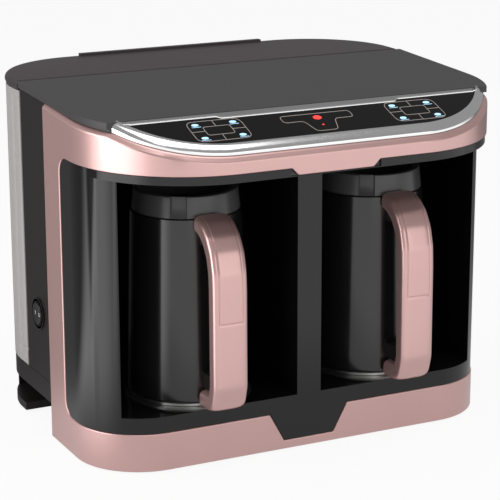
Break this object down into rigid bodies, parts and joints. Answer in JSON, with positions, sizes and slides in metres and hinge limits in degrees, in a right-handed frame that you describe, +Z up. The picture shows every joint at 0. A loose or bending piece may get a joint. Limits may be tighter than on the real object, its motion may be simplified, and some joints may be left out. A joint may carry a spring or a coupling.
{
  "type": "electric turkish coffee maker",
  "caption": "Countertop Turkish coffee maker: lift-out pots in heated bays, touch panel, rear water tank with hinged lid, side rocker switch.",
  "frame": {"origin": "centre of the footprint on the surface it stands on", "axes": "+X to the right as seen from the front, +Y to the back, +Z up"},
  "size_m": [0.32, 0.276, 0.2576],
  "materials": {
    "rose_metal": "satin rose-gold metallic",
    "black_gloss": "glossy black",
    "black_matte": "fine-grained black",
    "dark_satin": "satin dark grey",
    "chrome": "bright",
    "panel_glass": "black glass look with thin printed outlines",
    "tank_clear": "translucent light grey",
    "rubber": "matt",
    "steel": "plain",
    "pot_coating": "satin black coating",
    "collar_grey": "dark grey",
    "board": "circuit board green",
    "silicone": "translucent silicone",
    "pump_plastic": "natural plastic"
  },
  "bodies": {
    "root": {"chassis_tray": "black_matte", "rubber_feet": "rubber", "base_screws": "steel", "front_frame": "rose_metal", "fascia": "black_gloss", "housing_shell": "black_matte", "top_cover": "dark_satin", "tank_spigot": "black_matte", "spigot_seal": "rubber", "touch_panel": "panel_glass", "front_trim": "chrome", "rear_trim": "chrome", "control_board": "board", "power_board": "board", "feed_manifold": "pump_plastic", "switch_bezel": "black_gloss", "cord_inlet": "rubber", "pump_left": "pump_plastic", "pump_right": "pump_plastic", "pump_cradle_left": "black_matte", "pump_cradle_right": "black_matte", "intake_hose_left": "silicone", "intake_hose_right": "silicone", "delivery_hose_left": "silicone", "delivery_hose_right": "silicone", "water_spout_left": "black_matte", "water_spout_right": "black_matte", "foam_sensor_left": "black_gloss", "foam_sensor_right": "black_gloss", "hotplate_left": "steel", "hotplate_right": "steel", "sensor_holder_left": "black_matte", "sensor_holder_right": "black_matte", "sensor_spring_left": "steel", "sensor_spring_right": "steel"},
    "tank": {"water_tank": "tank_clear", "valve_cage": "pump_plastic"},
    "lid": {"tank_lid": "dark_satin", "lid_pins": "steel"},
    "poppet": {"valve_poppet": "pump_plastic"},
    "rocker": {"rocker": "black_gloss"},
    "pot_left": {"pot_body_left": "pot_coating", "pot_base_left": "steel", "pot_collar_left": "collar_grey", "handle_shell_left": "rose_metal", "handle_core_left": "black_matte", "handle_inlay_left": "rose_metal"},
    "sensor_left": {"plate_sensor_left": "steel"},
    "pot_right": {"pot_body_right": "pot_coating", "pot_base_right": "steel", "pot_collar_right": "collar_grey", "handle_shell_right": "rose_metal", "handle_core_right": "black_matte", "handle_inlay_right": "rose_metal"},
    "sensor_right": {"plate_sensor_right": "steel"}
  },
  "joints": [
    {"name": "tank_lift", "type": "slide", "parent": "root", "child": "tank", "axis": [0, 0, 1], "range_m": [0, 0.22]},
    {"name": "lid_hinge", "type": "hinge", "parent": "tank", "child": "lid", "pos_m": [0, 0.0555, 0.2525], "axis": [1, 0, 0], "range_deg": [0, 75]},
    {"name": "valve_travel", "type": "slide", "parent": "tank", "child": "poppet", "axis": [0, 0, 1], "range_m": [0, 0.002]},
    {"name": "rocker_switch", "type": "hinge", "parent": "root", "child": "rocker", "pos_m": [-0.1565, 0.025, 0.088], "axis": [0, 0, 1], "range_deg": [-7, 7]},
    {"name": "pot_slide_left", "type": "slide", "parent": "root", "child": "pot_left", "axis": [0, -1, 0], "range_m": [0, 0.14]},
    {"name": "sensor_travel_left", "type": "slide", "parent": "root", "child": "sensor_left", "axis": [0, 0, -1], "range_m": [0, 0.0015], "stiffness_N_per_m": 200, "springref_m": -0.002, "deforming": ["sensor_spring_left"]},
    {"name": "pot_slide_right", "type": "slide", "parent": "root", "child": "pot_right", "axis": [0, -1, 0], "range_m": [0, 0.14]},
    {"name": "sensor_travel_right", "type": "slide", "parent": "root", "child": "sensor_right", "axis": [0, 0, -1], "range_m": [0, 0.0015], "stiffness_N_per_m": 200, "springref_m": -0.002, "deforming": ["sensor_spring_right"]}
  ]
}
